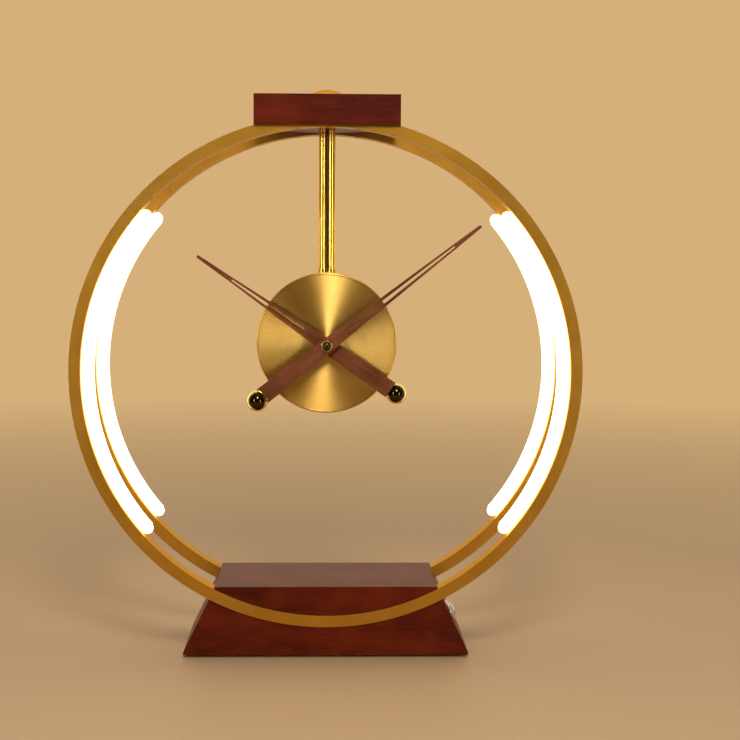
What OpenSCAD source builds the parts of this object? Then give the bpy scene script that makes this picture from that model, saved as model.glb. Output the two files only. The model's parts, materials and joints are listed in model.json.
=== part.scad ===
// Twin-ring lamp clock: two upright metal rings stand in a hollow wooden base
// and are tied at the top by a wooden block. Two rods hang a round clock drum
// from the block, lit tubes line the rings, and a phone charges on the base.
// X runs left to right, the front faces -Y, Z is up, and the feet rest on z = 0.

/* [Rings] */
// Outer radius of each ring
ring_r = 200; // [190:1:210]
// Radial thickness of each ring
ring_t = 9; // [8:0.5:10]
// Width of each ring from front to back
ring_w = 16; // [14:1:18]
// Distance between the outer faces of the two rings
rings_depth = 99.5; // [95:0.5:104]
// Height of the rings' lowest point above the table
ring_lift = 24.5; // [23:0.5:26]

/* [Light tubes] */
// Radius of the diffuser's round section
tube_r = 5.4; // [4.8:0.1:5.8]
// Half of the arc that each tube covers, in degrees
tube_half_arc = 41; // [30:0.5:45]

/* [Base] */
// Width of the base at its foot
base_w = 225; // [215:1:235]
// Width of the base at its top
base_top_w = 174.5; // [170:0.5:178]
// Depth of the base
base_d = 97; // [95:1:98]
// Height of the base's top above the table
base_top_z = 56.5; // [55:0.5:60]
// Height of the rubber feet
foot_h = 2; // [1:0.1:3]

/* [Top block] */
// Width of the top block
block_w = 113; // [110:1:125]
// Depth of the top block
block_d = 106; // [104:1:112]
// Height of the top block
block_h = 23.5; // [20:0.5:28]
// Radius of the domed cap on the block
dome_r = 18; // [16:1:20]
// Height of the domed cap
dome_h = 8.5; // [8:0.5:12]

/* [Hanger] */
// Radius of each hanger rod
rod_r = 3.3; // [3:0.1:3.3]
// Distance between the two rods' axes
rod_gap = 6.7; // [6.7:0.1:7.4]

/* [Drum] */
// Outer radius of the clock drum
drum_r = 56.2; // [54:0.1:56.5]
// Depth of the clock drum
drum_d = 26; // [26:1:28]
// Height of the drum's centre
drum_z = 246.7; // [243:0.1:249]
// Height of the hands' axis
hub_z = 244.7; // [243:0.1:248]

/* [Hands] */
// Direction of the minute hand, in degrees clockwise from twelve
minute_at = 51.9; // [0:0.1:360]
// Direction of the hour hand, in degrees clockwise from twelve
hour_at = 304.6; // [0:0.1:360]
// Length of the minute hand from its axis to its tip
minute_len = 155; // [140:1:160]
// Length of the hour hand from its axis to its tip
hour_len = 125; // [110:1:130]
// Thickness of the wooden hands
hand_t = 2.5; // [2:0.1:2.6]
// Radius of the polished balls on the hands' tails
ball_r = 8.4; // [7.5:0.1:8.6]

/* [Hidden] */
$fn = 96;

// Overlap of a cutting shape beyond the face it cuts
cut = 1;
// Clearance of a ring in its groove
groove_play = 0.1;
// Radial clearance of a turning shaft
run_play = 0.05;

ring_z = ring_lift + ring_r;
ring_in_r = ring_r - ring_t;
ring_mid_r = ring_r - ring_t / 2;
ring_y = rings_depth / 2 - ring_w / 2;
ring_back_y = rings_depth / 2 - ring_w;

// The tube's section is a circle cut flat where it is glued to the ring
tube_seat = 0.6;
tube_c_r = ring_in_r - tube_r + tube_seat;
seat_x = ring_in_r - tube_c_r;
strip_w = 2.4;
strip_t = 0.5;
slot_depth = 1.6;
plug_gap = 0.02;
plug_r = seat_x - 0.1;

// The base: a block with slanted ends over a short upright land
land_h = 2;
top_wall = 5;
end_wall = 10;
cover_t = 3;
cover_w = 206;
cover_d = 84;
cover_z = foot_h;
pocket_d = 78;
pocket_w = 180;
pocket_top_z = 20;
chamber_d = 57.5;
chamber_top_z = base_top_z - top_wall;
slope = (base_w - base_top_w) / 2 / (base_top_z - foot_h - land_h);
slant = atan(slope);

// Half the base's width at a height, on the slanted part
function base_half(z) = base_top_w / 2 + slope * (base_top_z - z);

screw_x = 45;
screw_z = ring_z - sqrt(ring_mid_r * ring_mid_r - screw_x * screw_x);
cover_screw_x = 96;
cover_screw_y = 37;
cover_screw_r = 1.5;
cover_screw_l = 10;
cover_head_r = 3;
cover_head_h = 1.6;
ring_screw_r = 2;
ring_head_r = 3.6;
ring_head_h = 2.2;
ring_grip = 7;
ring_hole_l = 8;
foot_x = 85;
foot_y = 30;
foot_r = 7;

// The switch on the right-hand slanted end
switch_y = -18;
switch_z = 31;
switch_hole_r = 7.5;
switch_bezel_r = 9;
switch_bezel_t = 2.2;
switch_body_r = 7.45;
switch_thread_l = 12;
switch_nut_r = 9.6;
switch_nut_t = 2;
switch_wall = end_wall * cos(slant);
button_r = 5.6;
button_h = 2.3;
button_rim = 0.7;
button_low = 1.2;
button_stem_r = 2.5;
button_travel = 1;
switch_base_l = 8;

// The power inlet in the rear face, below the rear ring
inlet_x = 70;
inlet_z = 14;
inlet_r = 4;
inlet_flange_r = 5.6;
inlet_flange_t = 1.2;
inlet_l = 14;
inlet_bore_r = 2.8;
inlet_bore_l = 9.5;
inlet_nut_r = 6;
inlet_nut_t = 2;
inlet_pin_r = 1.05;
inlet_pin_l = 9;

// The charging stack below the base's top
coil_r = 22;
coil_in_r = 10;
coil_t = 1.2;
ferrite_r = 24.5;
ferrite_t = 1;
tray_half = 27;
tray_t = 2;
tray_z = chamber_top_z - coil_t - ferrite_t - tray_t;
tray_screw_at = 23;
board_screw_at = 16;
small_screw_r = 1.25;
small_hole_r = 1.4;
small_head_r = 2.3;
small_head_h = 1.5;
tray_screw_l = 6.5;
board_screw_l = 5;
tray_screw_grip = 3;
board_t = 1.6;
post_h = 4;
post_out_r = 3;
charger_z = tray_z - post_h - board_t;
charger_w = 42;
driver_x = -62;
driver_z = cover_z + cover_t + post_h;
driver_w = 44;
driver_d = 50;
driver_screw_x = 17;
driver_screw_y = 20;

block_z = ring_z + ring_in_r + 1;
block_top = block_z + block_h;
block_screw_x = 24;
block_screw_r = 1.9;
block_screw_l = 18;
block_head_r = 3.2;
block_head_h = 1.4;
block_seat = 0.6;

// The hanger
rod_x = rod_gap / 2;
drum_top = drum_z + drum_r;
rod_low = drum_top - 6.5;
rod_high = block_top - 4;
rod_bridge = 0.6 * rod_r;
collar_r = rod_r + 0.75;
collar_h = 3.2;
collar_skirt = 0.8;
rod_screw_r = 1.5;
rod_screw_l = 10;
anchor_w = 22;
anchor_d = 10;
anchor_low = 6;
anchor_high = 3.5;
plate_r = 13;
plate_t = 1.8;
cap_room_r = 8;
cap_room_h = 6;
head_h = 2.4;
head_r = 2.7;

// The drum, with its axis along Y
drum_wall = 1.6;
front_y = -drum_d / 2;
rear_y = drum_d / 2;
lid_r = drum_r - drum_wall - 0.1;
lid_t = 1.5;
lid_in = 0.6;
dial_y = front_y + lid_in;
dial_back = dial_y + lid_t;
cover_y = rear_y - lid_in - lid_t;
ledge_r = drum_r - drum_wall - 3.4;
lid_screw_r = 0.9;
lid_head_r = 1.7;
lid_screw_at = ledge_r + 1.6;
ledge_t = 2;
drum_edge = 0.8;
window = 60;

// The movement, hung on the dial by its threaded bush
gasket_t = 0.5;
case_half = 28;
case_wall = 1.2;
case_y = dial_back + gasket_t;
case_back = case_y + 15.5;
back_t = 1.2;
bush_r = 4;
bush_front = dial_y - 4.4;
nut_t = 2.4;
nut_r = 6.9;
pipe_r = 2.5;
pipe_in_r = 1.7;
arbor_r = pipe_in_r - run_play;
wheel_t = 1;
hour_wheel_y = case_y + case_wall + 0.3;
minute_wheel_y = hour_wheel_y + wheel_t + 0.5;
plate_y = minute_wheel_y + wheel_t + 0.5;
mid_plate_t = 1.2;
battery_r = 7.05;
battery_z = hub_z - 19.6;
battery_y = case_y + case_wall + battery_r + 0.1;
battery_half = 25.2;
bay_top = battery_z + battery_r + 0.6;

// Teeth of the motion works, which turn the hour hand once for twelve turns
cannon_teeth = 12;
minute_teeth = 36;
pinion_teeth = 10;
hour_teeth = 40;
knob_teeth = 18;
cannon_mod = 0.5;
hour_mod = cannon_mod * (cannon_teeth + minute_teeth) / (pinion_teeth + hour_teeth);
minute_x = cannon_mod * (cannon_teeth + minute_teeth) / 2;
knob_up = cannon_mod * (minute_teeth + knob_teeth) / 2;
post_r = 0.75;
knob_shaft_r = 1.5;
knob_r = 6;
knob_h = 3;

// The hands, each on a brass bush
hour_y = bush_front - 3.6;
minute_y = hour_y - hand_t - 3.4;
hub_w = 12;
tail_w = 14;
neck_at = 22;
neck_w = 9.4;
slot_end_w = 4;
tip_w = 2.4;
neck_rail = 2.9;
end_rail = 1.4;
minute_slot_end = 128;
hour_slot_end = 91;
hand_bush_r = 4.6;
hand_bush_h = 1;
hub_nut_r = 5;
hub_nut_h = 1.5;
hub_cap_r = 4.6;
hub_cap_h = 2.8;
arbor_tip = 2.6;

// The minute hand's ball stands in front of its tail and the hour hand's ball
// behind its tail, outside the drum, so that the hands can pass each other
drum_reach = drum_r + abs(drum_z - hub_z);
minute_ball_at = 69.5;
hour_ball_at = max(68, drum_reach + ball_r + 1);
minute_ball_y = minute_y - 5.5;
hour_ball_y = hour_y + hand_t + 4.6;
minute_tail_in = 3;
hour_tail_in = 0;

wood_dark = "#6b2b1a";
gold = "#c79a45";
silver = "#c9c9c6";
black = "#26262a";

// Moves a shape drawn in X and Z to the slab between two depths
module slab(y0, y1) {
    translate([0, y1, 0])
        rotate([90, 0, 0])
            linear_extrude(y1 - y0)
                children();
}

// A disc or shaft along Y
module shaft_y(x, z, r, y0, y1) {
    slab(y0, y1)
        translate([x, z])
            circle(r);
}

// A pipe or washer along Y
module pipe_y(x, z, r, bore, y0, y1) {
    slab(y0, y1)
        translate([x, z])
            difference() {
                circle(r);
                circle(bore);
            }
}

// Turns a revolved profile, drawn as radius and depth, to an axis along Y
module spin_y(x, z) {
    translate([x, 0, z])
        rotate([-90, 0, 0])
            children();
}

// The band of a ring, grown by a clearance, from one depth to another
module ring_band(play, y0, y1) {
    spin_y(0, ring_z)
        rotate_extrude($fn = 180)
            translate([ring_in_r - play, y0])
                square([ring_t + 2 * play, y1 - y0]);
}

// A screw along Z with a flat head, its tip pointing up
module screw_up(r, length, cap_r, cap_h) {
    cylinder(r = r, h = length, $fn = 32);
    translate([0, 0, -cap_h])
        difference() {
            cylinder(r = cap_r, h = cap_h, $fn = 32);
            translate([0, 0, -cut])
                cylinder(r = cap_r * 0.5, h = cut + cap_h * 0.5, $fn = 6);
        }
}

// A gear outline with a little backlash
function tooth_points(teeth, modulus) = [
    for (i = [0 : teeth - 1])
        for (p = [
            [-0.33, -1.2], [-0.22, 0], [-0.1, 0.85],
            [0.1, 0.85], [0.22, 0], [0.33, -1.2]
        ])
            let (a = (i + p[0]) * 360 / teeth, r = modulus * (teeth / 2 + p[1]))
                [r * cos(a), r * sin(a)]
];

module gear(x, z, teeth, modulus, bore, turn, y0, y1) {
    slab(y0, y1)
        translate([x, z])
            rotate(turn)
                difference() {
                    polygon(tooth_points(teeth, modulus));
                    circle(bore, $fn = 48);
                }
}

// ---- Base ----

module base_outline(inset) {
    low = foot_h;
    polygon([
        [-base_w / 2 + inset, low], [base_w / 2 - inset, low],
        [base_w / 2 - inset, low + land_h], [base_top_w / 2 - inset, base_top_z],
        [-base_top_w / 2 + inset, base_top_z], [-base_w / 2 + inset, low + land_h]
    ]);
}

// Places a shape on the right-hand slanted end, with Z along its outward normal
module at_switch() {
    translate([base_half(switch_z), switch_y, switch_z])
        rotate([0, 90 - slant, 0])
            children();
}

module base_body() {
    color(wood_dark)
        difference() {
            slab(-base_d / 2, base_d / 2)
                base_outline(0);
            // the wide pocket low in the base and the narrower chamber above it
            translate([-pocket_w / 2, -pocket_d / 2, 0])
                cube([pocket_w, pocket_d, pocket_top_z]);
            intersection() {
                slab(-chamber_d / 2, chamber_d / 2)
                    base_outline(end_wall);
                translate([-base_w / 2, -chamber_d / 2, 0])
                    cube([base_w, chamber_d, chamber_top_z]);
            }
            // the rebate for the cover
            translate([-cover_w / 2 - 0.2, -cover_d / 2 - 0.2, cover_z - cut])
                cube([cover_w + 0.4, cover_d + 0.4, cover_t + cut]);
            // the grooves for the rings
            ring_band(groove_play, -base_d, -ring_back_y + groove_play);
            ring_band(groove_play, ring_back_y - groove_play, base_d);
            for (sx = [-1, 1])
                shaft_y(sx * screw_x, screw_z, ring_screw_r + 0.2, -base_d / 2, base_d / 2);
            for (sx = [-1, 1], sy = [-1, 1])
                translate([sx * cover_screw_x, sy * cover_screw_y, cover_z])
                    cylinder(r = cover_screw_r, h = cover_screw_l + 4, $fn = 32);
            for (sx = [-1, 1], sy = [-1, 1])
                translate([sx * tray_screw_at, sy * tray_screw_at, chamber_top_z - cut])
                    cylinder(r = small_screw_r, h = tray_screw_grip + cut, $fn = 32);
            at_switch()
                translate([0, 0, -end_wall * 2])
                    cylinder(r = switch_hole_r, h = end_wall * 3);
            shaft_y(inlet_x, inlet_z, inlet_r + 0.1, 0, base_d);
            shaft_y(inlet_x, inlet_z, inlet_flange_r + 0.1, base_d / 2 - inlet_flange_t, base_d);
        }
}

module base_cover() {
    color(black)
        difference() {
            union() {
                translate([-cover_w / 2, -cover_d / 2, cover_z])
                    cube([cover_w, cover_d, cover_t]);
                for (sx = [-1, 1], sy = [-1, 1])
                    translate([driver_x + sx * driver_screw_x, sy * driver_screw_y, cover_z + cover_t])
                        cylinder(r = post_out_r, h = post_h, $fn = 32);
            }
            for (sx = [-1, 1], sy = [-1, 1]) {
                translate([sx * cover_screw_x, sy * cover_screw_y, cover_z - cut]) {
                    cylinder(r = cover_screw_r + 0.2, h = cover_t + 2 * cut, $fn = 32);
                    cylinder(r = cover_head_r + 0.2, h = cut + cover_head_h + 0.2, $fn = 32);
                }
                translate([driver_x + sx * driver_screw_x, sy * driver_screw_y, cover_z + cover_t])
                    cylinder(r = small_screw_r, h = post_h + cut, $fn = 32);
            }
        }
}

module cover_screws() {
    color(silver)
        for (sx = [-1, 1], sy = [-1, 1])
            translate([sx * cover_screw_x, sy * cover_screw_y, cover_z + cover_head_h + 0.2])
                screw_up(cover_screw_r, cover_screw_l, cover_head_r, cover_head_h);
}

module rubber_feet() {
    color(black)
        for (sx = [-1, 1], sy = [-1, 1])
            translate([sx * foot_x, sy * foot_y, 0])
                cylinder(r = foot_r, h = foot_h, $fn = 48);
}

module coil_tray() {
    color("#dcdcd6")
        difference() {
            union() {
                translate([-tray_half, -tray_half, tray_z])
                    cube([2 * tray_half, 2 * tray_half, tray_t + ferrite_t + coil_t]);
                for (sx = [-1, 1], sy = [-1, 1])
                    translate([sx * board_screw_at, sy * board_screw_at, tray_z - post_h])
                        cylinder(r = post_out_r - 0.4, h = post_h + cut, $fn = 32);
            }
            translate([0, 0, tray_z + tray_t])
                cylinder(r = ferrite_r + 0.1, h = ferrite_t + coil_t + cut);
            for (sx = [-1, 1], sy = [-1, 1]) {
                translate([sx * tray_screw_at, sy * tray_screw_at, tray_z - cut])
                    cylinder(r = small_hole_r, h = chamber_top_z - tray_z + 2 * cut, $fn = 32);
                translate([sx * board_screw_at, sy * board_screw_at, tray_z - post_h - cut])
                    cylinder(r = small_screw_r, h = post_h + cut, $fn = 32);
            }
        }
}

module charger_coil() {
    color("#b8683a")
        translate([0, 0, tray_z + tray_t + ferrite_t])
            difference() {
                cylinder(r = coil_r, h = coil_t);
                translate([0, 0, -cut])
                    cylinder(r = coil_in_r, h = coil_t + 2 * cut);
            }
}

module charger_ferrite() {
    color("#3a3a40")
        translate([0, 0, tray_z + tray_t])
            cylinder(r = ferrite_r, h = ferrite_t);
}

module board(x, z, w, d, hole_x, hole_y) {
    difference() {
        translate([x - w / 2, -d / 2, z])
            cube([w, d, board_t]);
        for (sx = [-1, 1], sy = [-1, 1])
            translate([x + sx * hole_x, sy * hole_y, z - cut])
                cylinder(r = small_hole_r, h = board_t + 2 * cut, $fn = 32);
    }
}

module charger_board() {
    color("#1f6b3a")
        board(0, charger_z, charger_w, charger_w, board_screw_at, board_screw_at);
}

module driver_board() {
    color("#1f6b3a")
        board(driver_x, driver_z, driver_w, driver_d, driver_screw_x, driver_screw_y);
}

// A boxed part on a board's face, up or down by the sign of its height
module chip(x, y, z, size, height) {
    translate([x, y, height > 0 ? z : z + height])
        cube([size[0], size[1], abs(height)]);
}

// A can, such as a coil or a capacitor, standing on a board's face
module can(x, y, z, r, height) {
    translate([x, y, height > 0 ? z : z + height])
        cylinder(r = r, h = abs(height), $fn = 48);
}

// Coils, capacitors, chips and sockets: below the charger board, above the driver
module board_parts() {
    top = driver_z + board_t;
    color("#4a4a50") {
        can(-10, -6, charger_z, 4, -4);
        for (i = [0 : 3])
            chip(1 + i * 4.2, -12, charger_z, [3, 3], -1.8);
        chip(2, 0, charger_z, [7, 7], -1.4);
        chip(-4, 13, charger_z, [8, 5], -5);
        can(driver_x - 9, 6, top, 6, 6);
        for (i = [0 : 1])
            can(driver_x + 4 + i * 8, 10, top, 3.1, 9);
        chip(driver_x - 12, -12, top, [8, 8], 1.6);
        for (i = [0 : 2])
            chip(driver_x + i * 6, -14, top, [4, 6], 2);
        chip(driver_x - 4, -24, top, [12, 5], 6);
    }
}

module small_screws() {
    color(silver) {
        for (sx = [-1, 1], sy = [-1, 1]) {
            translate([sx * tray_screw_at, sy * tray_screw_at, tray_z])
                screw_up(small_screw_r, tray_screw_l, small_head_r, small_head_h);
            translate([sx * board_screw_at, sy * board_screw_at, charger_z])
                screw_up(small_screw_r, board_screw_l, small_head_r, small_head_h);
            translate([driver_x + sx * driver_screw_x, sy * driver_screw_y, driver_z + board_t])
                mirror([0, 0, 1])
                    screw_up(small_screw_r, board_screw_l, small_head_r, small_head_h);
        }
    }
}

module dc_inlet() {
    face = base_d / 2;
    color(black)
        difference() {
            union() {
                shaft_y(inlet_x, inlet_z, inlet_flange_r, face - inlet_flange_t, face);
                shaft_y(inlet_x, inlet_z, inlet_r, face - inlet_l, face - inlet_flange_t);
            }
            shaft_y(inlet_x, inlet_z, inlet_bore_r, face - inlet_bore_l, face + cut);
            shaft_y(inlet_x, inlet_z, inlet_pin_r, face - inlet_l + 1, face);
        }
}

module dc_inlet_pin() {
    face = base_d / 2;
    color(silver)
        shaft_y(inlet_x, inlet_z, inlet_pin_r, face - inlet_l + 1, face - inlet_bore_l + inlet_pin_l);
}

module dc_inlet_nut() {
    color(silver)
        slab(pocket_d / 2 - inlet_nut_t, pocket_d / 2)
            translate([inlet_x, inlet_z])
                difference() {
                    circle(inlet_nut_r, $fn = 6);
                    circle(inlet_r);
                }
}

module switch_bezel() {
    color(silver)
        at_switch()
            difference() {
                union() {
                    rotate_extrude()
                        polygon([
                            [0, 0], [switch_bezel_r, 0], [switch_bezel_r, switch_bezel_t * 0.4],
                            [switch_bezel_r - 1.6, switch_bezel_t], [0, switch_bezel_t]
                        ]);
                    translate([0, 0, -switch_thread_l])
                        cylinder(r = switch_body_r, h = switch_thread_l + cut);
                }
                translate([0, 0, -button_low - button_travel - 0.3])
                    cylinder(r = button_r + 0.1, h = 10);
                translate([0, 0, -switch_thread_l - cut])
                    cylinder(r = button_stem_r + 0.1, h = switch_thread_l);
            }
}

module switch_button() {
    color("#dcdcda")
        at_switch() {
            translate([0, 0, -button_low])
                cylinder(r = button_r, h = button_low + switch_bezel_t + button_rim);
            translate([0, 0, switch_bezel_t + button_rim])
                cap_solid(button_r, button_h - button_rim);
            translate([0, 0, -8])
                cylinder(r = button_stem_r, h = 7.5);
        }
}

module switch_nut() {
    color(silver)
        at_switch()
            translate([0, 0, -switch_wall - switch_nut_t])
                difference() {
                    cylinder(r = switch_nut_r, h = switch_nut_t, $fn = 6);
                    translate([0, 0, -cut])
                        cylinder(r = switch_body_r, h = switch_nut_t + 2 * cut);
                }
}

module switch_base() {
    color(black)
        at_switch()
            translate([0, 0, -switch_thread_l - switch_base_l])
                cylinder(r = switch_body_r, h = switch_base_l);
}

// ---- Rings and light tubes ----

module ring_at(side) {
    color(gold)
        difference() {
            ring_band(0, side * ring_y - ring_w / 2, side * ring_y + ring_w / 2);
            for (sx = [-1, 1]) {
                shaft_y(sx * screw_x, screw_z, ring_screw_r,
                    side > 0 ? ring_back_y - cut : -ring_back_y - ring_hole_l,
                    side > 0 ? ring_back_y + ring_hole_l : -ring_back_y + cut);
                translate([sx * block_screw_x, side * ring_y, ring_z + ring_in_r - 8]) {
                    cylinder(r = block_screw_r + 0.1, h = 24, $fn = 32);
                    cylinder(r = block_head_r + 0.2, h = 8 + block_seat, $fn = 32);
                }
            }
        }
}

module front_ring() {
    ring_at(-1);
}

module rear_ring() {
    ring_at(1);
}

module ring_screws() {
    head_y = chamber_d / 2;
    color(silver)
        for (sx = [-1, 1], side = [-1, 1]) {
            shaft_y(sx * screw_x, screw_z, ring_screw_r, side > 0 ? head_y : -ring_back_y - ring_grip,
                side > 0 ? ring_back_y + ring_grip : -head_y);
            shaft_y(sx * screw_x, screw_z, ring_head_r, side > 0 ? head_y - ring_head_h : -head_y,
                side > 0 ? head_y : -head_y + ring_head_h);
        }
}

module block_screws() {
    color(silver)
        for (sx = [-1, 1], side = [-1, 1])
            translate([sx * block_screw_x, side * ring_y, ring_z + ring_in_r + block_seat])
                screw_up(block_screw_r, block_screw_l, block_head_r, block_head_h);
}

// The diffuser is solid, cut flat where it is glued to the ring, with a slot
// along its back for the strip of lamps
module tube_section() {
    difference() {
        circle(tube_r, $fn = 48);
        translate([seat_x, -tube_r])
            square(2 * tube_r);
        translate([seat_x - slot_depth, -strip_w / 2 - 0.1])
            square([tube_r, strip_w + 0.2]);
    }
}

// The tube on the left of the front ring, from which the others are copied
module led_tube() {
    color("#fff6e0")
        spin_y(0, ring_z)
            rotate_extrude(angle = 2 * tube_half_arc, start = 180 - tube_half_arc, $fn = 180)
                translate([tube_c_r, -ring_y])
                    tube_section();
}

module front_left_led_tube() {
    led_tube();
}

module front_right_led_tube() {
    mirror([1, 0, 0])
        led_tube();
}

module rear_left_led_tube() {
    translate([0, 2 * ring_y, 0])
        led_tube();
}

module rear_right_led_tube() {
    translate([0, 2 * ring_y, 0])
        mirror([1, 0, 0])
            led_tube();
}

// A rounded plug at one end of a tube, at an angle from the right; turn is
// 180 for the end at the lower angle, which points the other way
module end_plug(angle, turn) {
    rotate([0, -angle, 0])
        translate([tube_c_r, 0, 0])
            rotate([turn, 0, 0])
                translate([0, 0, plug_gap])
                    rotate_extrude()
                        intersection() {
                            circle(plug_r);
                            square(plug_r);
                        }
}

module led_end_plugs() {
    color("#fff6e0")
        for (side = [-1, 1], middle = [0, 180])
            translate([0, side * ring_y, ring_z]) {
                end_plug(middle + tube_half_arc, 0);
                end_plug(middle - tube_half_arc, 180);
            }
}

module led_strips() {
    color("#f2efe2")
        for (side = [-1, 1], middle = [0, 180])
            spin_y(0, ring_z)
                rotate_extrude(angle = 2 * tube_half_arc - 1, start = middle - tube_half_arc + 0.5,
                    $fn = 180)
                    translate([ring_in_r - slot_depth + 0.1, side * ring_y - strip_w / 2])
                        square([strip_t, strip_w]);
}

// ---- Top block and hanger ----

// The slot that both rods fill, from one height to another
module rod_slot(z0, z1) {
    translate([0, 0, z0])
        linear_extrude(z1 - z0)
            union() {
                for (sx = [-1, 1])
                    translate([sx * rod_x, 0])
                        circle(rod_r);
                translate([-rod_x, -rod_bridge])
                    square([rod_gap, 2 * rod_bridge]);
            }
}

module top_block() {
    color(wood_dark)
        difference() {
            translate([-block_w / 2, -block_d / 2, block_z])
                cube([block_w, block_d, block_h]);
            ring_band(groove_play, -ring_y - ring_w / 2 - groove_play, -ring_y + ring_w / 2 + groove_play);
            ring_band(groove_play, ring_y - ring_w / 2 - groove_play, ring_y + ring_w / 2 + groove_play);
            for (sx = [-1, 1], side = [-1, 1])
                translate([sx * block_screw_x, side * ring_y, block_z - cut])
                    cylinder(r = block_screw_r, h = block_screw_l + cut, $fn = 32);
            rod_slot(block_z - cut, rod_high);
            for (sx = [-1, 1])
                translate([sx * rod_x, 0, block_z])
                    cylinder(r = rod_screw_r, h = block_h + cut, $fn = 32);
        }
}

// A shallow spherical cap with the radius and height given
module cap_solid(r, h) {
    ball = (r * r + h * h) / (2 * h);
    intersection() {
        translate([0, 0, h - ball])
            sphere(ball, $fn = 128);
        cylinder(r = r + cut, h = h + cut, $fn = 128);
    }
}

module hanger_cap() {
    color(gold)
        translate([0, 0, block_top])
            difference() {
                cap_solid(dome_r, dome_h);
                translate([0, 0, -cut]) {
                    cylinder(r = plate_r + 0.4, h = plate_t + 0.6 + cut);
                    cylinder(r = cap_room_r, h = cap_room_h + cut);
                }
            }
}

module hanger_plate() {
    color(silver)
        translate([0, 0, block_top])
            difference() {
                cylinder(r = plate_r, h = plate_t);
                for (sx = [-1, 1])
                    translate([sx * rod_x, 0, -cut])
                        cylinder(r = rod_screw_r + 0.2, h = plate_t + 2 * cut, $fn = 32);
            }
}

module hanger_rods() {
    color(gold)
        for (sx = [-1, 1])
            translate([sx * rod_x, 0, rod_low])
                difference() {
                    cylinder(r = rod_r, h = rod_high - rod_low);
                    translate([0, 0, -cut])
                        cylinder(r = rod_screw_r, h = rod_screw_l, $fn = 32);
                    translate([0, 0, rod_high - rod_low - rod_screw_l + cut])
                        cylinder(r = rod_screw_r, h = rod_screw_l, $fn = 32);
                }
}

// One double collar round both rods, saddled on the drum's round wall
module rod_collar() {
    color(gold)
        difference() {
            translate([0, 0, drum_top - collar_skirt])
                linear_extrude(collar_skirt + collar_h)
                    union() {
                        for (sx = [-1, 1])
                            translate([sx * rod_x, 0])
                                circle(collar_r);
                        translate([-rod_x, -rod_r])
                            square([rod_gap, 2 * rod_r]);
                    }
            rod_slot(drum_top - 2 * cut, drum_top + collar_h + cut);
            shaft_y(0, drum_z, drum_r, -collar_r - cut, collar_r + cut);
        }
}

module rod_anchor() {
    color(silver)
        difference() {
            translate([-anchor_w / 2, -anchor_d / 2, rod_low - anchor_low])
                cube([anchor_w, anchor_d, anchor_low + anchor_high]);
            rod_slot(rod_low, rod_low + anchor_high + cut);
            for (sx = [-1, 1])
                translate([sx * rod_x, 0, rod_low - anchor_low - cut])
                    cylinder(r = rod_screw_r, h = anchor_low + 2 * cut, $fn = 32);
        }
}

module rod_screws() {
    color(silver)
        for (sx = [-1, 1]) {
            translate([sx * rod_x, 0, block_top + plate_t])
                mirror([0, 0, 1])
                    screw_up(rod_screw_r, block_top - rod_high + plate_t + 6, head_r, head_h);
            translate([sx * rod_x, 0, rod_low - anchor_low])
                screw_up(rod_screw_r, anchor_low + 7, head_r, head_h);
        }
}

// ---- Drum ----

module drum_shell() {
    bore = drum_r - drum_wall;
    color(gold)
        difference() {
            spin_y(0, drum_z)
                rotate_extrude($fn = 180)
                    polygon([
                        [bore, front_y], [drum_r - drum_edge, front_y], [drum_r, front_y + drum_edge],
                        [drum_r, rear_y - drum_edge], [drum_r - drum_edge, rear_y], [bore, rear_y],
                        [bore, cover_y], [ledge_r, cover_y], [ledge_r, cover_y - ledge_t],
                        [bore, cover_y - ledge_t], [bore, dial_back + ledge_t],
                        [ledge_r, dial_back + ledge_t], [ledge_r, dial_back], [bore, dial_back]
                    ]);
            rod_slot(drum_z, drum_top + cut);
            lid_holes(lid_screw_r, cover_y - ledge_t - cut, cover_y + cut);
        }
}

module dial_plate() {
    color(gold)
        difference() {
            shaft_y(0, drum_z, lid_r, dial_y, dial_back);
            shaft_y(0, hub_z, bush_r + 0.1, dial_y - cut, dial_back + cut);
        }
}

// Discs or holes at the three places where the rear cover is screwed down
module lid_holes(r, y0, y1) {
    for (a = [30, 150, 270])
        shaft_y(lid_screw_at * cos(a), drum_z + lid_screw_at * sin(a), r, y0, y1);
}

module drum_rear_cover() {
    color(gold)
        difference() {
            shaft_y(0, drum_z, lid_r, cover_y, cover_y + lid_t);
            slab(cover_y - cut, cover_y + lid_t + cut)
                translate([-window / 2, hub_z - window / 2])
                    square(window);
            lid_holes(lid_screw_r, cover_y - cut, cover_y + lid_t + cut);
        }
}

module rear_cover_screws() {
    color(silver) {
        lid_holes(lid_screw_r, cover_y - ledge_t, cover_y + lid_t);
        lid_holes(lid_head_r, cover_y + lid_t, cover_y + lid_t + lid_in);
    }
}

// ---- Movement ----

module movement_case() {
    low = hub_z - case_half;
    color(black)
        difference() {
            union() {
                slab(case_y, case_back)
                    translate([-case_half, low])
                        square(2 * case_half);
                shaft_y(0, hub_z, bush_r, bush_front, case_y + case_wall);
            }
            // the chamber for the wheels and the bay for the battery
            slab(case_y + case_wall, case_back + cut)
                translate([-case_half + case_wall, bay_top + case_wall])
                    square([2 * (case_half - case_wall), hub_z + case_half - bay_top - 2 * case_wall]);
            slab(case_y + case_wall, case_back + cut)
                translate([-case_half + case_wall, low + case_wall])
                    square([2 * (case_half - case_wall), bay_top - low - case_wall]);
            shaft_y(0, hub_z, pipe_r + run_play, bush_front - cut, case_back);
        }
}

module movement_back() {
    color("#303036")
        difference() {
            slab(case_back, case_back + back_t)
                translate([-case_half, bay_top])
                    square([2 * case_half, hub_z + case_half - bay_top]);
            shaft_y(minute_x, hub_z + knob_up, knob_shaft_r + run_play,
                case_back - cut, case_back + back_t + cut);
        }
}

module movement_gasket() {
    color("#1c1c1c")
        pipe_y(0, hub_z, 12, bush_r + 0.1, dial_back, case_y);
}

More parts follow.
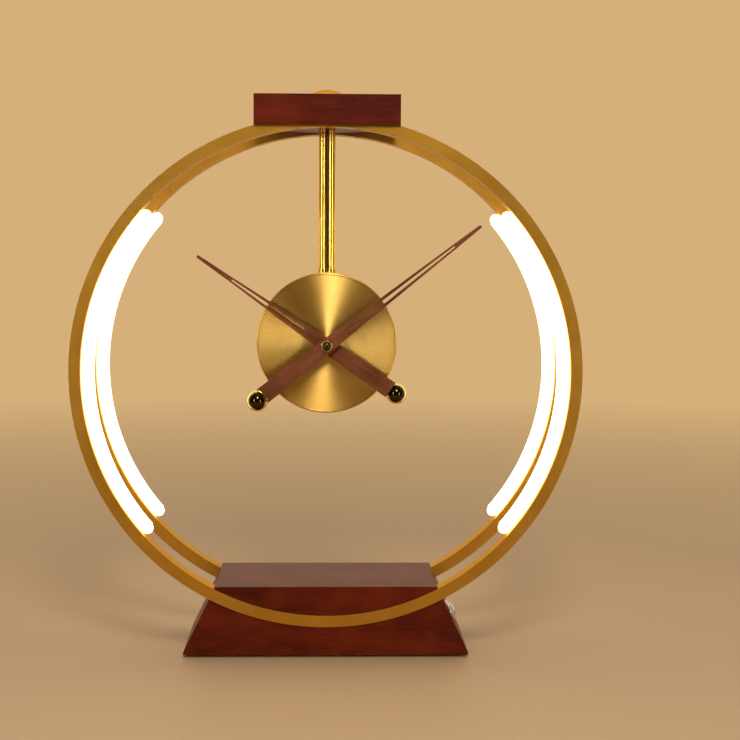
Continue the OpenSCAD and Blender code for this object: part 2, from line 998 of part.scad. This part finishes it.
// The inner plate carries the minute wheel's post and steadies the arbor
module movement_plate() {
    top = hub_z + case_half - case_wall - 0.2;
    low = bay_top + case_wall + 0.2;
    color("#e3dfd2") {
        difference() {
            slab(plate_y, plate_y + mid_plate_t)
                translate([-case_half + case_wall + 0.2, low])
                    square([2 * (case_half - case_wall - 0.2), top - low]);
            shaft_y(0, hub_z, arbor_r + run_play, plate_y - cut, plate_y + mid_plate_t + cut);
            shaft_y(minute_x, hub_z + knob_up, knob_shaft_r + run_play,
                plate_y - cut, plate_y + mid_plate_t + cut);
        }
        shaft_y(minute_x, hub_z, post_r, case_y + case_wall, plate_y);
    }
}

module fixing_nut() {
    color(gold)
        slab(dial_y - nut_t, dial_y)
            translate([0, hub_z])
                difference() {
                    circle(nut_r, $fn = 6);
                    circle(bush_r);
                }
}

module battery() {
    color("#3f7f52")
        translate([0, battery_y, battery_z])
            rotate([0, 90, 0]) {
                translate([0, 0, -battery_half])
                    cylinder(r = battery_r, h = 2 * battery_half - 1.4);
                translate([0, 0, battery_half - 1.4])
                    cylinder(r = 2.6, h = 1.4, $fn = 48);
            }
}

module battery_contacts() {
    color(silver)
        for (sx = [-1, 1])
            translate([sx > 0 ? battery_half : -battery_half - 1, battery_y - 5, battery_z - 5])
                cube([1, 10, 10]);
}

module step_coil() {
    color("#b8683a")
        translate([-22, plate_y + mid_plate_t + 4, hub_z + 21])
            rotate([0, 90, 0]) {
                cylinder(r = 3, h = 18, $fn = 48);
                for (x = [0, 17])
                    translate([0, 0, x])
                        cylinder(r = 3.9, h = 1, $fn = 48);
            }
}

module stator() {
    y0 = plate_y + mid_plate_t;
    color("#9a9aa0")
        slab(y0, y0 + 0.9)
            translate([-22, hub_z + 8])
                difference() {
                    square([18, 8]);
                    translate([9, 4])
                        circle(2.6, $fn = 48);
                }
}

module circuit_board() {
    y0 = plate_y + mid_plate_t;
    color("#1f6b3a") {
        slab(y0, y0 + 0.8)
            translate([-25, hub_z - 9])
                square([17, 13]);
        slab(y0 + 0.8, y0 + 2.6)
            translate([-23, hub_z - 7])
                square([7, 2]);
        slab(y0 + 0.8, y0 + 1.9)
            translate([-15, hub_z - 5])
                square([5, 5]);
    }
}

module minute_arbor() {
    color(gold) {
        shaft_y(0, hub_z, arbor_r, minute_y - arbor_tip, plate_y + mid_plate_t + 3);
        gear(0, hub_z, cannon_teeth, cannon_mod, arbor_r, 0, minute_wheel_y, minute_wheel_y + wheel_t);
    }
}

module minute_wheel() {
    color(gold) {
        gear(minute_x, hub_z, minute_teeth, cannon_mod, post_r + run_play, 180 / minute_teeth,
            minute_wheel_y, minute_wheel_y + wheel_t);
        gear(minute_x, hub_z, pinion_teeth, hour_mod, post_r + run_play, 180 / pinion_teeth,
            hour_wheel_y, minute_wheel_y);
    }
}

module hour_wheel() {
    color(gold) {
        gear(0, hub_z, hour_teeth, hour_mod, pipe_in_r, 0, hour_wheel_y, hour_wheel_y + wheel_t);
        pipe_y(0, hub_z, pipe_r, pipe_in_r, hour_y - 0.4, hour_wheel_y);
    }
}

// The knob's shaft turns the minute wheel, and its milled head is turned by hand
module setting_knob() {
    x = minute_x;
    z = hub_z + knob_up;
    head_y = case_back + back_t + 0.5;
    color(black) {
        gear(x, z, knob_teeth, cannon_mod, knob_shaft_r - 0.1, 270,
            minute_wheel_y, minute_wheel_y + wheel_t);
        shaft_y(x, z, knob_shaft_r, minute_wheel_y, head_y);
        slab(head_y, head_y + knob_h)
            translate([x, z])
                polygon([
                    for (i = [0 : 47])
                        let (r = i % 2 == 0 ? knob_r : knob_r - 0.4)
                            [r * cos(i * 7.5), r * sin(i * 7.5)]
                ]);
    }
}

// ---- Hands ----

// Turns a hand, drawn pointing up from its axis, to its place on the dial
module hand_at(direction) {
    translate([0, 0, hub_z])
        rotate([0, direction, 0])
            children();
}

// A slim tapered hand with a long slot and a broad tail that ends at the ball
module hand_outline(length, slot_end, tail) {
    difference() {
        union() {
            polygon([
                [-tail_w / 2, -tail], [tail_w / 2, -tail], [hub_w / 2, 0],
                [neck_w / 2, neck_at], [slot_end_w / 2, slot_end],
                [tip_w / 2, length - tip_w / 2], [-tip_w / 2, length - tip_w / 2],
                [-slot_end_w / 2, slot_end], [-neck_w / 2, neck_at], [-hub_w / 2, 0]
            ]);
            translate([0, length - tip_w / 2])
                circle(tip_w / 2, $fn = 32);
        }
        // the slot, wide near the hub and narrow near the tip, round at both ends
        wide = neck_w / 2 - neck_rail;
        narrow = slot_end_w / 2 - end_rail;
        start = neck_at + wide;
        polygon([
            [-wide, start], [wide, start], [narrow, slot_end], [-narrow, slot_end]
        ]);
        translate([0, start])
            circle(wide, $fn = 32);
        translate([0, slot_end])
            circle(narrow, $fn = 32);
        circle(pipe_r, $fn = 48);
    }
}

// A hand whose tail reaches the ball's surface, or further by tail_in, with a
// dished seat for the ball
module wood_hand(direction, y0, length, slot_end, ball_at, ball_y, tail_in) {
    reach = sqrt(ball_r * ball_r - pow(y0 + hand_t / 2 - ball_y, 2));
    color("#7a4a30")
        difference() {
            hand_at(direction)
                slab(y0, y0 + hand_t)
                    hand_outline(length, slot_end, ball_at - reach + tail_in);
            hand_at(direction)
                translate([0, ball_y, -ball_at])
                    sphere(ball_r, $fn = 96);
        }
}

module ball_knob(direction, ball_at, ball_y) {
    color("#e0b860")
        hand_at(direction)
            translate([0, ball_y, -ball_at])
                sphere(ball_r, $fn = 96);
}

module hour_hand() {
    wood_hand(hour_at, hour_y, hour_len, hour_slot_end, hour_ball_at, hour_ball_y, hour_tail_in);
}

module hour_bush() {
    color(gold)
        pipe_y(0, hub_z, hand_bush_r, pipe_r, hour_y + hand_t, hour_y + hand_t + hand_bush_h);
}

module hour_ball() {
    ball_knob(hour_at, hour_ball_at, hour_ball_y);
}

module minute_hand() {
    wood_hand(minute_at, minute_y, minute_len, minute_slot_end, minute_ball_at, minute_ball_y,
        minute_tail_in);
}

module minute_bush() {
    color(gold) {
        pipe_y(0, hub_z, pipe_r, arbor_r, minute_y, minute_y + hand_t);
        pipe_y(0, hub_z, hand_bush_r, arbor_r, minute_y + hand_t, minute_y + hand_t + hand_bush_h);
    }
}

module minute_ball() {
    ball_knob(minute_at, minute_ball_at, minute_ball_y);
}

module hub_nut() {
    color(gold)
        difference() {
            translate([0, minute_y, hub_z])
                rotate([90, 0, 0])
                    union() {
                        cylinder(r = hub_nut_r, h = hub_nut_h);
                        translate([0, 0, hub_nut_h])
                            cap_solid(hub_cap_r, hub_cap_h);
                    }
            shaft_y(0, hub_z, arbor_r, minute_y - arbor_tip, minute_y + cut);
        }
}

base_body();
base_cover();
cover_screws();
rubber_feet();
coil_tray();
charger_coil();
charger_ferrite();
charger_board();
driver_board();
board_parts();
small_screws();
dc_inlet();
dc_inlet_pin();
dc_inlet_nut();
switch_bezel();
switch_button();
switch_nut();
switch_base();
front_ring();
rear_ring();
ring_screws();
block_screws();
front_left_led_tube();
front_right_led_tube();
rear_left_led_tube();
rear_right_led_tube();
led_end_plugs();
led_strips();
top_block();
hanger_cap();
hanger_plate();
hanger_rods();
rod_collar();
rod_anchor();
rod_screws();
drum_shell();
dial_plate();
drum_rear_cover();
rear_cover_screws();
movement_case();
movement_back();
movement_gasket();
movement_plate();
fixing_nut();
battery();
battery_contacts();
step_coil();
stator();
circuit_board();
minute_arbor();
minute_wheel();
hour_wheel();
setting_knob();
hour_hand();
hour_bush();
hour_ball();
minute_hand();
minute_bush();
minute_ball();
hub_nut();
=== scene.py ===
"""Looks for the twin-ring lamp clock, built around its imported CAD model.

Everything is in metres in the model's frame: X runs left to right, the front faces -Y and the
feet rest on z = 0. Every material is procedural. The scale of a noise is the number of its
features in a metre, along each axis.
"""

import json
import math

import bpy
from mathutils import Matrix, Vector


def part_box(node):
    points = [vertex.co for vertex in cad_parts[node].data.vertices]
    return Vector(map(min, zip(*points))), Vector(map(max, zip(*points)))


MM = 0.001


def colour(red, green, blue):
    """A display colour from 0 to 255 as the linear colour that shaders use."""
    linear = [c / 12.92 if c <= 0.04045 else ((c + 0.055) / 1.055) ** 2.4
              for c in (red / 255, green / 255, blue / 255)]
    return (*linear, 1.0)


def middle_of(node):
    """The middle of a CAD node's box."""
    low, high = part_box(node)
    return (low + high) / 2


# ---- Node helpers ----


class Nodes:
    """A node tree, with short calls that add nodes and join them."""

    def __init__(self, tree):
        self.tree = tree

    def put(self, socket, value):
        """Joins a socket to another node's output, or gives it a constant."""
        if isinstance(value, bpy.types.NodeSocket):
            self.tree.links.new(value, socket)
        else:
            socket.default_value = value

    def node(self, kind, inputs, **settings):
        """Adds a node, with its settings and what goes into its sockets."""
        made = self.tree.nodes.new(kind)
        for key, value in settings.items():
            setattr(made, key, value)
        for key, value in inputs.items():
            self.put(made.inputs[key], value)
        return made

    def split(self, vector):
        """The X, Y and Z of a vector, by those names."""
        return self.node("ShaderNodeSeparateXYZ", {"Vector": vector}).outputs

    def math(self, operation, *values):
        made = self.node("ShaderNodeMath", {}, operation=operation)
        for socket, value in zip(made.inputs, values):
            self.put(socket, value)
        return made.outputs[0]

    def length(self, first, second):
        """The length of a flat vector from its two coordinates."""
        squares = [self.math("MULTIPLY", side, side) for side in (first, second)]
        return self.math("SQRT", self.math("ADD", *squares))

    def span(self, value, low, high, to_low=0.0, to_high=1.0, **settings):
        """Maps low..high to to_low..to_high, held at both ends."""
        ends = {"From Min": low, "From Max": high, "To Min": to_low, "To Max": to_high}
        made = self.node("ShaderNodeMapRange", {"Value": value, **ends}, **settings)
        return made.outputs["Result"]


class Finish(Nodes):
    """A Principled material, with short calls for the patterns on it."""

    def __init__(self, name, constants):
        self.material = bpy.data.materials.new(name)
        self.material.use_nodes = True
        super().__init__(self.material.node_tree)
        self.surface = self.tree.nodes["Principled BSDF"]
        for socket, value in constants.items():
            self.surface.inputs[socket].default_value = value

    def place(self, turn=0.0):
        """The point in the model's frame, turned about Y by turn radians."""
        point = self.node("ShaderNodeTexCoord", {}).outputs["Object"]
        if turn == 0.0:
            return point
        turned = self.node(
            "ShaderNodeVectorRotate", {"Vector": point, "Angle": turn}, rotation_type="Y_AXIS"
        )
        return turned.outputs["Vector"]

    def noise(self, vector, scale, detail=2.0, distortion=0.0, roughness=0.5):
        """Noise from 0 to 1, with its own scale along each axis."""
        stretched = self.node("ShaderNodeMapping", {"Vector": vector, "Scale": scale})
        made = self.node(
            "ShaderNodeTexNoise",
            {
                "Vector": stretched.outputs["Vector"],
                "Scale": 1.0,
                "Detail": detail,
                "Distortion": distortion,
                "Roughness": roughness,
            },
        )
        return made.outputs["Fac"]

    def even_noise(self, scale, detail=2.0):
        """Noise from 0 to 1, with one scale along every axis."""
        return self.noise(self.place(), (scale, scale, scale), detail)

    def blend(self, share, first, second):
        """The first colour, turned into the second one as the share goes from 0 to 1."""
        made = self.node("ShaderNodeMix", {}, data_type="RGBA")
        for key, value in (("Factor_Float", share), ("A_Color", first), ("B_Color", second)):
            socket = next(s for s in made.inputs if s.identifier == key)
            self.put(socket, value)
        return next(s for s in made.outputs if s.identifier == "Result_Color")

    def relief(self, *layers):
        """Adds up (height from 0 to 1, depth in metres) layers as bump."""
        normal = None
        for height, depth in layers:
            inputs = {"Height": height, "Distance": depth, "Strength": 1.0}
            if normal is not None:
                inputs["Normal"] = normal
            normal = self.node("ShaderNodeBump", inputs).outputs["Normal"]
        self.put(self.surface.inputs["Normal"], normal)

    def paint(self, **sockets):
        """Joins outputs to the shader's sockets, named in lower case with underscores."""
        for key, value in sockets.items():
            self.put(self.surface.inputs[key.replace("_", " ").title()], value)


# ---- Materials ----


def wood(name, dark, mid, light, turn=0.0):
    """Satin lacquered wood with its grain along X, turned about Y."""
    f = Finish(name, {"Specular IOR Level": 0.08, "Coat Weight": 0.02, "Coat Roughness": 0.25})
    along = f.place(turn)
    figure = f.noise(along, (9, 60, 60), detail=4, distortion=0.8)
    streaks = f.noise(along, (40, 620, 620), detail=3, roughness=0.6)
    fibres = f.noise(along, (150, 2600, 2600), detail=2)
    patches = f.noise(along, (34, 44, 44), detail=3)
    pores = f.span(f.noise(along, (190, 2100, 2100), detail=1), 0.62, 0.72)
    base = f.blend(f.span(figure, 0.28, 0.72), dark, mid)
    base = f.blend(f.span(streaks, 0.42, 0.75, 0.0, 0.4), base, light)
    base = f.blend(f.span(patches, 0.4, 0.7, 0.0, 0.45), base, light)
    base = f.blend(f.math("MULTIPLY", pores, 0.5), base, dark)
    f.paint(base_color=base, roughness=f.span(streaks, 0.3, 0.7, 0.3, 0.42))
    f.relief((fibres, 0.02 * MM), (pores, -0.05 * MM))
    return f.material


def turned_gold(name, round_node, tint, deep, constants):
    """A Finish of satin gold, brushed in rings about the middle of a CAD node."""
    satin = 0.34
    f = Finish(name, {"Metallic": 1.0, "Specular Tint": (1.0, 0.82, 0.5, 1.0), **constants})
    point = f.split(f.place())
    up = f.math("SUBTRACT", point["Z"], middle_of(round_node).z)
    polar = f.node("ShaderNodeCombineXYZ", {
        "X": f.length(point["X"], up),
        "Y": point["Y"],
        "Z": f.math("ARCTAN2", up, point["X"]),
    }).outputs[0]
    lines = f.noise(polar, (5200, 5200, 2.5), detail=3, roughness=0.65)
    fine = f.even_noise(1100)
    cloud = f.even_noise(28, detail=3)
    base = f.blend(f.span(cloud, 0.35, 0.7, 0.0, 0.6), tint, deep)
    base = f.blend(f.span(lines, 0.45, 0.8, 0.0, 0.35), base, deep)
    base = f.blend(f.span(fine, 0.45, 0.75, 0.0, 0.4), base, deep)
    rough = f.math("ADD", f.span(lines, 0.2, 0.8, satin - 0.05, satin + 0.06),
                   f.span(fine, 0.3, 0.7, -0.02, 0.02))
    f.paint(base_color=base, roughness=rough)
    f.relief((lines, 0.006 * MM), (fine, 0.004 * MM))
    return f


def ring_gold():
    """Satin gold of the two rings and of the domed cap."""
    f = turned_gold("ring_gold", "front_ring", colour(206, 156, 62), colour(178, 128, 42), {})
    return f.material


def drum_gold():
    """Brushed gold whose rings of fine scratches spread the light into wedges."""
    f = turned_gold("drum_gold", "dial_plate", colour(238, 202, 114), colour(196, 148, 64),
                    {"Anisotropic": 0.93, "Anisotropic Rotation": 0.25})
    around = f.node("ShaderNodeTangent", {}, direction_type="RADIAL", axis="Y")
    f.paint(tangent=around.outputs["Tangent"])
    return f.material


def polish_marks(f):
    """Gives a Finish slanted hairline scratches, and returns faint clouds and the scratches."""
    hairs = f.noise(f.place(0.6), (90, 3200, 3200))
    f.relief((hairs, 0.001 * MM))
    return f.even_noise(60, detail=3), hairs


def polished(name, tint, deep):
    """Polished metal with faint cloudy wear and hairline scratches."""
    smooth, wear = 0.16, 0.04
    f = Finish(name, {"Metallic": 1.0})
    cloud, hairs = polish_marks(f)
    f.paint(
        base_color=f.blend(f.span(cloud, 0.4, 0.75, 0.0, 0.5), tint, deep),
        roughness=f.math("ADD", f.span(cloud, 0.3, 0.7, smooth, smooth + wear),
                         f.span(hairs, 0.6, 0.8, 0.0, wear)),
    )
    return f.material


def mirror_gold(name, painted_rim_start, painted_rim_full):
    """Gold mirror plating with a painted reflection: dark where it faces the eye, pale gold
    where it is seen at a low angle.
    """
    f = Finish(name, {"Metallic": 1.0, "Specular Tint": colour(255, 240, 170)})
    cloud, hairs = polish_marks(f)
    # Painted reflection: a dark gold face stands in for mirrored dark surroundings, and turns
    # pale gold towards the edges in place of a mirrored bright far wall.
    painted_dark_reflection = f.blend(f.span(cloud, 0.4, 0.75), colour(70, 60, 32), colour(54, 46, 24))
    low_angle = f.node("ShaderNodeLayerWeight", {"Blend": 0.5}).outputs["Facing"]
    painted_rim_reflection = f.span(low_angle, painted_rim_start, painted_rim_full)
    f.paint(base_color=f.blend(painted_rim_reflection, painted_dark_reflection, colour(255, 244, 190)),
            roughness=f.span(hairs, 0.6, 0.8, 0.03, 0.05))
    return f.material


def paired_rods():
    """Polished brass of the two rods, with painted shade darkening the cleft between them."""
    f = Finish("paired_rods", {"Metallic": 1.0, "Specular Tint": (1.0, 0.84, 0.5, 1.0)})
    from_middle = f.math("ABSOLUTE", f.split(f.place())["X"])
    # Painted shade: close to the cleft between the rods the brass turns near black and rougher.
    painted_cleft_shade = f.span(from_middle, 0.9 * MM, 1.8 * MM, 1.0, 0.0)
    cloud = f.span(f.even_noise(50, detail=3), 0.4, 0.75, 0.0, 0.5)
    drawn = f.noise(f.place(), (2400, 2400, 60))
    brass = f.blend(cloud, colour(244, 198, 92), colour(222, 166, 60))
    f.paint(
        base_color=f.blend(painted_cleft_shade, brass, colour(60, 26, 6)),
        roughness=f.math("ADD", f.span(drawn, 0.3, 0.7, 0.19, 0.26),
                         f.math("MULTIPLY", painted_cleft_shade, 0.3)),
    )
    f.relief((drawn, 0.002 * MM))
    return f.material


def brushed_steel():
    """Bright steel, brushed along X."""
    f = Finish("steel", {"Metallic": 1.0})
    lines = f.noise(f.place(), (300, 3600, 3600))
    f.paint(base_color=f.blend(lines, colour(176, 176, 172), colour(214, 214, 210)),
            roughness=f.span(lines, 0.3, 0.7, 0.28, 0.42))
    f.relief((lines, 0.004 * MM))
    return f.material


def moulded(name, tint, worn, roughness, pitch=1400):
    """Plastic or rubber with a fine moulded texture and slightly uneven gloss."""
    f = Finish(name, {"Specular IOR Level": 0.4})
    texture = f.even_noise(pitch)
    cloud = f.even_noise(90)
    f.paint(base_color=f.blend(f.span(cloud, 0.35, 0.7), tint, worn),
            roughness=f.span(texture, 0.3, 0.7, roughness - 0.06, roughness + 0.06))
    f.relief((texture, 0.02 * MM))
    return f.material


def copper_wire():
    """Enamelled wire wound in fine turns."""
    f = Finish("copper", {"Metallic": 1.0, "Coat Weight": 0.6, "Coat Roughness": 0.15})
    turns = f.node("ShaderNodeTexWave", {"Vector": f.place(), "Scale": 320.0, "Distortion": 0.4},
                   wave_type="RINGS", rings_direction="Z").outputs["Fac"]
    f.paint(base_color=f.blend(turns, colour(120, 58, 30), colour(206, 116, 66)),
            roughness=f.span(turns, 0.0, 1.0, 0.32, 0.22))
    f.relief((turns, 0.06 * MM))
    return f.material


def circuit_board():
    """Green solder resist over a faint pattern of tracks."""
    f = Finish("board_green",
               {"Specular IOR Level": 0.5, "Coat Weight": 0.3, "Coat Roughness": 0.2})
    tracks = f.node("ShaderNodeTexBrick",
                    {"Vector": f.place(), "Scale": 260.0, "Mortar Size": 0.06},
                    offset=0.5).outputs["Fac"]
    weave = f.even_noise(1900, detail=1)
    f.paint(base_color=f.blend(tracks, colour(24, 92, 50), colour(46, 128, 72)),
            roughness=f.span(weave, 0.3, 0.7, 0.28, 0.4))
    f.relief((tracks, 0.03 * MM), (weave, 0.01 * MM))
    return f.material


def battery_sleeve():
    """A plain printed sleeve in two colours, with bare metal at its raised end."""
    f = Finish("battery_sleeve", {"Coat Weight": 0.5, "Coat Roughness": 0.12})
    low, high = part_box("battery")
    x = f.split(f.place())["X"]
    band = f.math("GREATER_THAN", x, low.x + 0.72 * (high.x - low.x))
    bare = f.math("GREATER_THAN", x, high.x - 1.5 * MM)
    scuff = f.noise(f.place(), (240, 900, 900), detail=3)
    base = f.blend(band, colour(30, 94, 60), colour(196, 152, 74))
    base = f.blend(f.span(scuff, 0.5, 0.8, 0.0, 0.3), base, colour(90, 110, 96))
    f.paint(base_color=f.blend(bare, base, colour(190, 190, 186)), metallic=bare,
            roughness=f.span(scuff, 0.3, 0.7, 0.25, 0.38))
    f.relief((scuff, 0.01 * MM))
    return f.material


def lit_diffuser():
    """Milky silicone, lit evenly from inside with a faint rhythm from the lamps behind it."""
    f = Finish("lit_diffuser", {"Roughness": 0.45, "Emission Strength": 3.2})
    lamps = f.even_noise(60, detail=1)
    skin = f.even_noise(1200, detail=1)
    f.paint(base_color=f.blend(skin, colour(255, 248, 230), colour(250, 240, 218)),
            emission_color=f.blend(lamps, (1.0, 0.80, 0.50, 1.0), (1.0, 0.84, 0.57, 1.0)))
    f.relief((skin, 0.01 * MM))
    return f.material


def make_finishes():
    """The material of each slot in the record but hand_walnut, which is made hand by hand."""
    return {
        "wood": wood("wood", colour(54, 13, 5), colour(87, 25, 8), colour(116, 40, 13)),
        "ring_gold": ring_gold(),
        "drum_gold": drum_gold(),
        "rod_brass": polished("rod_brass", colour(238, 192, 84), colour(214, 158, 54)),
        "polished_gold": mirror_gold("polished_gold", 0.2, 0.5),
        "plated_gold": mirror_gold("plated_gold", 0.33, 0.52),
        "lit_diffuser": lit_diffuser(),
        "strip_white": moulded("strip_white", colour(238, 234, 220), colour(226, 220, 204), 0.5),
        "chrome": polished("chrome", colour(214, 214, 212), colour(190, 190, 190)),
        "steel": brushed_steel(),
        "rubber": moulded("rubber", colour(30, 30, 31), colour(44, 43, 42), 0.75),
        "black_plastic": moulded("black_plastic", colour(28, 28, 30), colour(40, 40, 42), 0.5),
        "white_plastic": moulded("white_plastic", colour(232, 230, 222), colour(216, 212, 202),
                                 0.45),
        "copper": copper_wire(),
        "ferrite": moulded("ferrite", colour(52, 52, 56), colour(70, 69, 72), 0.6, pitch=2600),
        "board_green": circuit_board(),
        "dark_parts": moulded("dark_parts", colour(44, 44, 48), colour(60, 60, 64), 0.35,
                              pitch=2400),
        "battery_sleeve": battery_sleeve(),
    }


def walnut(hand):
    """Wood of one hand, whose grain runs from its hub to its ball."""
    hub = middle_of("hub_nut")
    ball = middle_of(hand.replace("hand", "ball"))
    turn = math.atan2(ball.z - hub.z, ball.x - hub.x)
    return wood(hand + "_walnut", colour(78, 40, 24), colour(112, 64, 40), colour(142, 88, 58),
                turn)


def dress_nodes(frame, finishes):
    """Gives every CAD node the material of its slot in the record."""
    slots = {row["node"]: row["material_slot"] for row in frame["record"]["subparts"]}
    for name, piece in frame["nodes"].items():
        if slots[name] == "hand_walnut":
            finish = walnut(name)
        elif name == "hanger_rods":
            finish = paired_rods()
        else:
            finish = finishes[slots[name]]
        piece.data.materials.clear()
        piece.data.materials.append(finish)


# ---- Rounded edges ----

# Width in metres of the small rounding on the edges of each CAD node that has one
ROUNDED = {
    "base_body": 0.5 * MM,
    "top_block": 0.5 * MM,
    "base_cover": 0.3 * MM,
    "rubber_feet": 0.4 * MM,
    "front_ring": 0.45 * MM,
    "rear_ring": 0.45 * MM,
    "minute_hand": 0.3 * MM,
    "hour_hand": 0.3 * MM,
    "drum_shell": 0.15 * MM,
    "dial_plate": 0.2 * MM,
    "drum_rear_cover": 0.2 * MM,
    "switch_bezel": 0.25 * MM,
    "switch_button": 0.2 * MM,
    "movement_case": 0.4 * MM,
    "movement_back": 0.25 * MM,
    "setting_knob": 0.15 * MM,
    "fixing_nut": 0.25 * MM,
    "hub_nut": 0.15 * MM,
    "rod_collar": 0.4 * MM,
}

# Edges that turn by more than this are rounded, so that facets of a curve stay as they are
SHARP_TURN = math.radians(28)


def round_edges(piece, width):
    """Rounds the sharp edges of a CAD node with modifiers, which leave its own mesh as it is."""
    weld = piece.modifiers.new("weld", "WELD")
    weld.merge_threshold = 0.001 * MM
    bevel = piece.modifiers.new("bevel", "BEVEL")
    bevel.width = width
    bevel.segments = 3
    bevel.limit_method = "ANGLE"
    bevel.angle_limit = SHARP_TURN
    bevel.miter_outer = "MITER_ARC"
    weighted = piece.modifiers.new("weighted_normals", "WEIGHTED_NORMAL")
    weighted.keep_sharp = False


# ---- Camera, light and floor ----


def make_camera():
    """The camera of the front view: a little above the clock's middle, looking slightly down."""
    place = Vector((-1.2, -1255.2, 316.5)) * MM
    yaw, pitch, roll = (math.radians(a) for a in (1.66, 4.21, 0.27))
    data = bpy.data.cameras.new("camera")
    data.sensor_width = 36.0
    data.lens = 75.58
    data.clip_start = 0.05
    data.clip_end = 50.0
    camera = bpy.data.objects.new("camera", data)
    turn = Matrix.Rotation(-yaw, 4, "Z") @ Matrix.Rotation(math.radians(90) - pitch, 4, "X")
    camera.matrix_world = Matrix.Translation(place) @ turn @ Matrix.Rotation(roll, 4, "Z")
    bpy.context.scene.collection.objects.link(camera)
    bpy.context.scene.camera = camera


def softbox(name, place, target, width, height, watts, spread=180.0):
    """An area light of warm white, whose light fans out by spread degrees."""
    data = bpy.data.lights.new(name, "AREA")
    data.shape = "RECTANGLE"
    data.size = width
    data.size_y = height
    data.energy = watts
    data.color = (1.0, 0.91, 0.78)
    data.spread = math.radians(spread)
    light = bpy.data.objects.new(name, data)
    light.location = place
    light.rotation_euler = (Vector(target) - Vector(place)).to_track_quat("-Z", "Y").to_euler()
    bpy.context.scene.collection.objects.link(light)


def make_lights():
    """Four soft boxes: a high front key, a low one on each side and a broad top light."""
    dial = middle_of("dial_plate")
    softbox("key", (0.10, -1.25, 1.20), dial, width=0.3, height=0.6, watts=13.5)
    softbox("left", (-0.80, -1.20, 0.42), dial, width=0.16, height=0.5, watts=0.75, spread=70)
    softbox("right", (0.82, -1.20, 0.28), dial, width=0.16, height=0.5, watts=0.53, spread=70)
    softbox("top", (0.0, 0.15, 1.5), (0, 0, 0), width=1.4, height=1.0, watts=3.0)


def make_studio(backdrop):
    """A dim warm room with a bright far side. The camera sees an even backdrop instead."""
    dim, bright, overhead = 0.05, 0.85, 0.15
    world = bpy.data.worlds.new("studio")
    bpy.context.scene.world = world
    world.use_nodes = True
    world.node_tree.nodes.clear()
    room = Nodes(world.node_tree)
    direction = room.split(room.node("ShaderNodeTexCoord", {}).outputs["Generated"])
    far = room.span(direction["Y"], -0.35, 0.6, dim, bright, interpolation_type="SMOOTHSTEP")
    high = room.span(direction["Z"], -0.1, 0.9, 0.0, overhead, interpolation_type="SMOOTHSTEP")
    lit = room.node("ShaderNodeBackground", {
        "Color": (1.0, 0.79, 0.53, 1.0),
        "Strength": room.math("ADD", far, high),
    })
    seen = room.node("ShaderNodeBackground", {"Color": backdrop})
    chosen = room.node("ShaderNodeMixShader", {
        0: room.node("ShaderNodeLightPath", {}).outputs["Is Camera Ray"],
        1: lit.outputs[0],
        2: seen.outputs[0],
    })
    room.node("ShaderNodeOutputWorld", {"Surface": chosen.outputs[0]})


def make_floor(tint):
    """A plain round floor that fades into the backdrop, so that no horizon shows."""
    solid_to, gone_at = 0.55, 2.2
    bpy.ops.mesh.primitive_circle_add(vertices=96, radius=6.0, fill_type="NGON")
    floor = bpy.context.object
    floor.name = "floor"
    f = Finish("floor", {"Base Color": tint, "Roughness": 0.55, "Specular IOR Level": 0.3})
    point = f.split(f.place())
    away = f.length(point["X"], point["Y"])
    f.paint(alpha=f.span(away, solid_to, gone_at, 1.0, 0.0))
    floor.data.materials.append(f.material)


# ---- The scene ----

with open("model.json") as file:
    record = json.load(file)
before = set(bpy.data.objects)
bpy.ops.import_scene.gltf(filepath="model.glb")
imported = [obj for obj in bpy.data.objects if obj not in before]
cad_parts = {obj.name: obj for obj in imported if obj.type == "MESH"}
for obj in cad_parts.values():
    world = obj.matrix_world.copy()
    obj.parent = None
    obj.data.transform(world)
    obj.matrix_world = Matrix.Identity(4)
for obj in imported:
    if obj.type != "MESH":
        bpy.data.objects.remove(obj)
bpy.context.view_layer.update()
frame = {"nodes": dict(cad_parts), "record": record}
scene = bpy.context.scene
scene.view_settings.view_transform = "Standard"

make_camera()
make_lights()
make_studio(colour(214, 176, 122))
make_floor(colour(180, 155, 126))
dress_nodes(frame, make_finishes())
for node_name, rounding in ROUNDED.items():
    round_edges(frame["nodes"][node_name], rounding)
